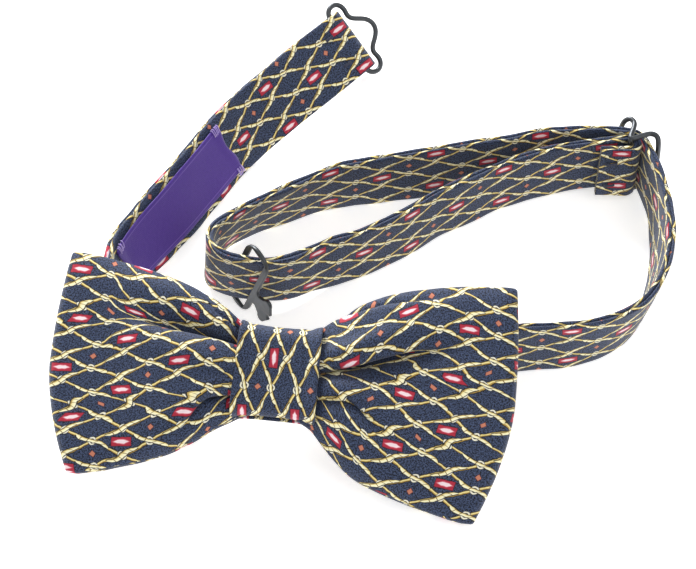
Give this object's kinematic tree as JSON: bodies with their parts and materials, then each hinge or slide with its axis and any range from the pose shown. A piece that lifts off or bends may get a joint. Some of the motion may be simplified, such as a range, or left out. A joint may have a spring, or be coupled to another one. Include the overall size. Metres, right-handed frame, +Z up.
{
  "type": "bow tie",
  "caption": "Pre-tied cloth bow tie: a folded bow in a knot wrap on a narrow adjustable neckband with slider, hook and eye ring.",
  "frame": {"origin": "middle of the footprint, on the table", "axes": "+X along the bow to its wearer's left end, +Y away from the bow's face across the table, +Z up"},
  "size_m": [0.1594, 0.1628, 0.0322],
  "materials": {
    "printed_cloth": "matt woven cloth, navy ground with a small gold, cream, red and coral geometric print",
    "interlining": "matt off-white stiffening cloth",
    "label": "woven satin label, plain purple",
    "label_thread": "lilac sewing thread",
    "thread": "navy sewing thread",
    "hardware": "dark gunmetal plating, satin"
  },
  "bodies": {
    "bow": {"bow_cloth": "printed_cloth", "bow_interlining": "interlining", "pinch_thread": "thread", "knot_interlining": "interlining", "knot_wrap": "printed_cloth", "knot_seam_thread": "thread", "neckband_centre_cloth": "printed_cloth", "neckband_centre_interlining": "interlining"},
    "short_strap": {"neckband_short_cloth": "printed_cloth", "neckband_short_interlining": "interlining", "label": "label", "label_stitch_1": "label_thread", "label_stitch_2": "label_thread", "label_stitch_3": "label_thread", "label_stitch_4": "label_thread", "ring_tack_1": "thread", "ring_tack_2": "thread"},
    "ring": {"eye_ring": "hardware"},
    "long_strap": {"neckband_long_cloth": "printed_cloth", "neckband_long_interlining": "interlining", "slider_tack_1": "thread", "slider_tack_2": "thread"},
    "slider": {"slider": "hardware"},
    "hook": {"hook": "hardware"}
  },
  "joints": [
    {"name": "short_strap_bend", "type": "hinge", "parent": "bow", "child": "short_strap", "pos_m": [-0.06706, -0.01912, 0.00974], "axis": [0, 0, 1], "range_deg": [-8, 12]},
    {"name": "ring_swing", "type": "hinge", "parent": "short_strap", "child": "ring", "pos_m": [-0.01435, 0.07183, 0.00886], "axis": [-0.6353, 0.488, 0.5986], "range_deg": [-60, 60]},
    {"name": "long_strap_bend", "type": "hinge", "parent": "bow", "child": "long_strap", "pos_m": [0.04084, -0.03332, 0.00974], "axis": [0, 0, 1], "range_deg": [-12, 4]},
    {"name": "slider_swing", "type": "hinge", "parent": "long_strap", "child": "slider", "pos_m": [0.06684, 0.03008, 0.01184], "axis": [0, 0, 1], "range_deg": [-5, 5]},
    {"name": "hook_slide", "type": "slide", "parent": "long_strap", "child": "hook", "axis": [0.9977, -0.0685, 0.0005], "range_m": [0, 0.004]}
  ]
}
